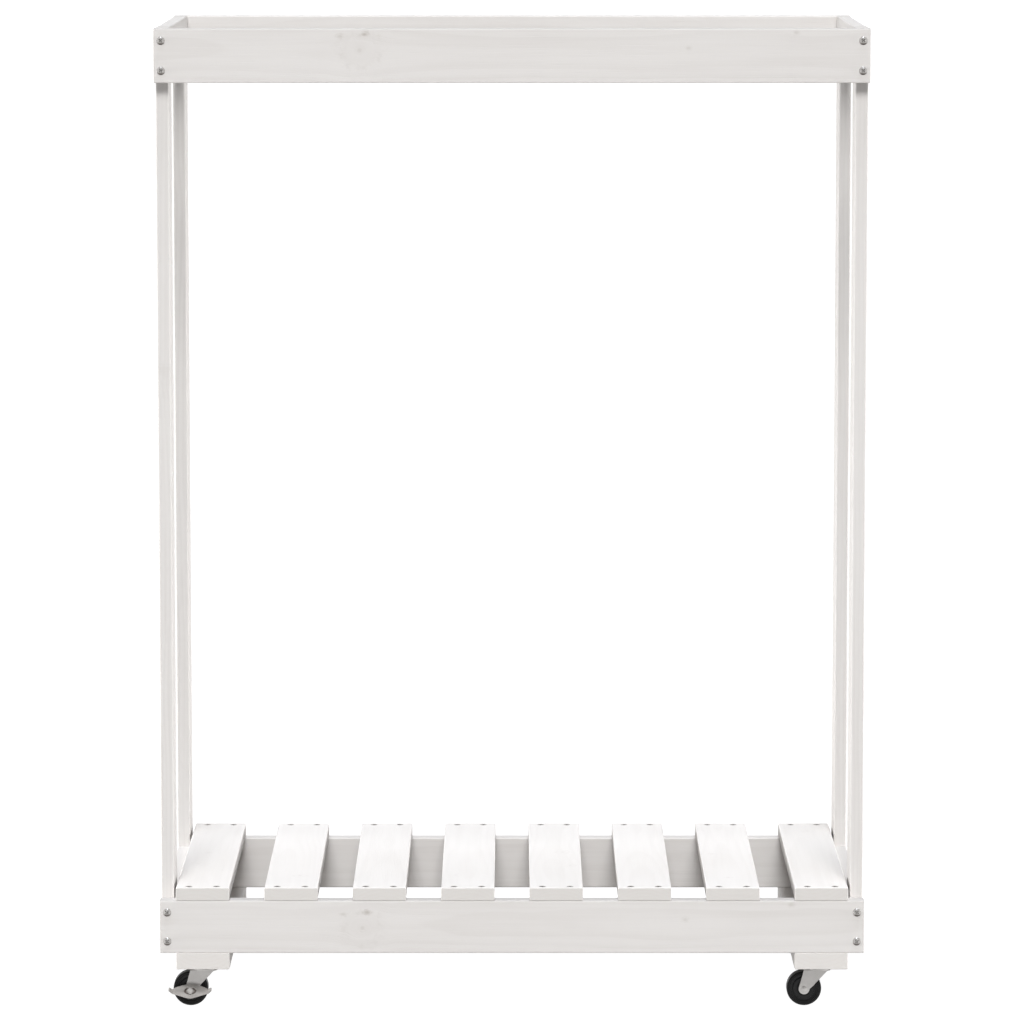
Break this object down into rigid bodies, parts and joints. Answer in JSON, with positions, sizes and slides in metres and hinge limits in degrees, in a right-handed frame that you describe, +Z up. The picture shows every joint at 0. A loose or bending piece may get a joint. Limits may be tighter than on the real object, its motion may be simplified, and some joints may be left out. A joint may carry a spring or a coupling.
{
  "type": "firewood log rack",
  "caption": "Tall open log rack of white planed pine boards with a slatted deck, a rail frame round the open top, and small swivel casters, some with a rocking brake lever.",
  "frame": {"origin": "centre of the rack's footprint, on the floor that the casters stand on", "axes": "+X to the right seen from the front, the front faces -Y, +Z up"},
  "size_m": [0.765, 0.4052, 1.07],
  "materials": {
    "white_pine": "thin white stain over planed pine, matt, with faint grain and knots",
    "dowel_beech": "plain beech",
    "screw_steel": "bright zinc plate",
    "zinc_steel": "dull zinc plate on pressed steel",
    "ball_steel": "ground steel balls",
    "wheel_plastic": "moulded black plastic",
    "tyre_rubber": "smooth black rubber"
  },
  "bodies": {
    "rack": {"bottom_front_rail": "white_pine", "bottom_left_side_rail": "white_pine", "bottom_rear_rail": "white_pine", "bottom_right_side_rail": "white_pine", "caster_board_screws": "screw_steel", "caster_plate_screws": "screw_steel", "deck_slat_1": "white_pine", "deck_slat_2": "white_pine", "deck_slat_3": "white_pine", "deck_slat_4": "white_pine", "deck_slat_5": "white_pine", "deck_slat_6": "white_pine", "deck_slat_7": "white_pine", "deck_slat_8": "white_pine", "front_left_caster_plate": "zinc_steel", "front_left_king_pin": "zinc_steel", "front_left_post": "white_pine", "front_right_caster_plate": "zinc_steel", "front_right_king_pin": "zinc_steel", "front_right_post": "white_pine", "king_pin_washers": "zinc_steel", "left_caster_board": "white_pine", "rail_screws": "screw_steel", "rear_left_caster_plate": "zinc_steel", "rear_left_king_pin": "zinc_steel", "rear_left_post": "white_pine", "rear_right_caster_plate": "zinc_steel", "rear_right_king_pin": "zinc_steel", "rear_right_post": "white_pine", "right_caster_board": "white_pine", "side_frame_dowels": "dowel_beech", "slat_screws": "screw_steel", "top_front_rail": "white_pine", "top_left_side_rail": "white_pine", "top_rear_rail": "white_pine", "top_right_side_rail": "white_pine"},
    "front_left_caster_swivel": {"front_left_fork": "zinc_steel", "front_left_axle": "zinc_steel", "front_left_bearing_balls": "ball_steel"},
    "front_left_caster_wheel": {"front_left_wheel": "wheel_plastic", "front_left_tyre": "tyre_rubber"},
    "front_left_caster_brake": {"front_left_brake_lever": "zinc_steel"},
    "front_right_caster_swivel": {"front_right_fork": "zinc_steel", "front_right_axle": "zinc_steel", "front_right_bearing_balls": "ball_steel"},
    "front_right_caster_wheel": {"front_right_wheel": "wheel_plastic", "front_right_tyre": "tyre_rubber"},
    "rear_left_caster_swivel": {"rear_left_fork": "zinc_steel", "rear_left_axle": "zinc_steel", "rear_left_bearing_balls": "ball_steel"},
    "rear_left_caster_wheel": {"rear_left_wheel": "wheel_plastic", "rear_left_tyre": "tyre_rubber"},
    "rear_right_caster_swivel": {"rear_right_fork": "zinc_steel", "rear_right_axle": "zinc_steel", "rear_right_bearing_balls": "ball_steel"},
    "rear_right_caster_wheel": {"rear_right_wheel": "wheel_plastic", "rear_right_tyre": "tyre_rubber"},
    "rear_right_caster_brake": {"rear_right_brake_lever": "zinc_steel"}
  },
  "joints": [
    {"name": "front_left_swivel", "type": "hinge", "parent": "rack", "child": "front_left_caster_swivel", "pos_m": [-0.336, -0.144, 0.0442], "axis": [0, 0, 1], "continuous": true},
    {"name": "front_left_roll", "type": "hinge", "parent": "front_left_caster_swivel", "child": "front_left_caster_wheel", "pos_m": [-0.352, -0.144, 0.019], "axis": [0, 1, 0], "continuous": true},
    {"name": "front_left_brake", "type": "hinge", "parent": "front_left_caster_swivel", "child": "front_left_caster_brake", "pos_m": [-0.352, -0.144, 0.019], "axis": [0, -1, 0], "range_deg": [0, 20]},
    {"name": "front_right_swivel", "type": "hinge", "parent": "rack", "child": "front_right_caster_swivel", "pos_m": [0.336, -0.144, 0.0442], "axis": [0, 0, 1], "continuous": true},
    {"name": "front_right_roll", "type": "hinge", "parent": "front_right_caster_swivel", "child": "front_right_caster_wheel", "pos_m": [0.32, -0.144, 0.019], "axis": [0, 1, 0], "continuous": true},
    {"name": "rear_left_swivel", "type": "hinge", "parent": "rack", "child": "rear_left_caster_swivel", "pos_m": [-0.336, 0.144, 0.0442], "axis": [0, 0, 1], "continuous": true},
    {"name": "rear_left_roll", "type": "hinge", "parent": "rear_left_caster_swivel", "child": "rear_left_caster_wheel", "pos_m": [-0.352, 0.144, 0.019], "axis": [0, 1, 0], "continuous": true},
    {"name": "rear_right_swivel", "type": "hinge", "parent": "rack", "child": "rear_right_caster_swivel", "pos_m": [0.336, 0.144, 0.0442], "axis": [0, 0, 1], "continuous": true},
    {"name": "rear_right_roll", "type": "hinge", "parent": "rear_right_caster_swivel", "child": "rear_right_caster_wheel", "pos_m": [0.32, 0.144, 0.019], "axis": [0, 1, 0], "continuous": true},
    {"name": "rear_right_brake", "type": "hinge", "parent": "rear_right_caster_swivel", "child": "rear_right_caster_brake", "pos_m": [0.32, 0.144, 0.019], "axis": [0, -1, 0], "range_deg": [0, 20]}
  ]
}
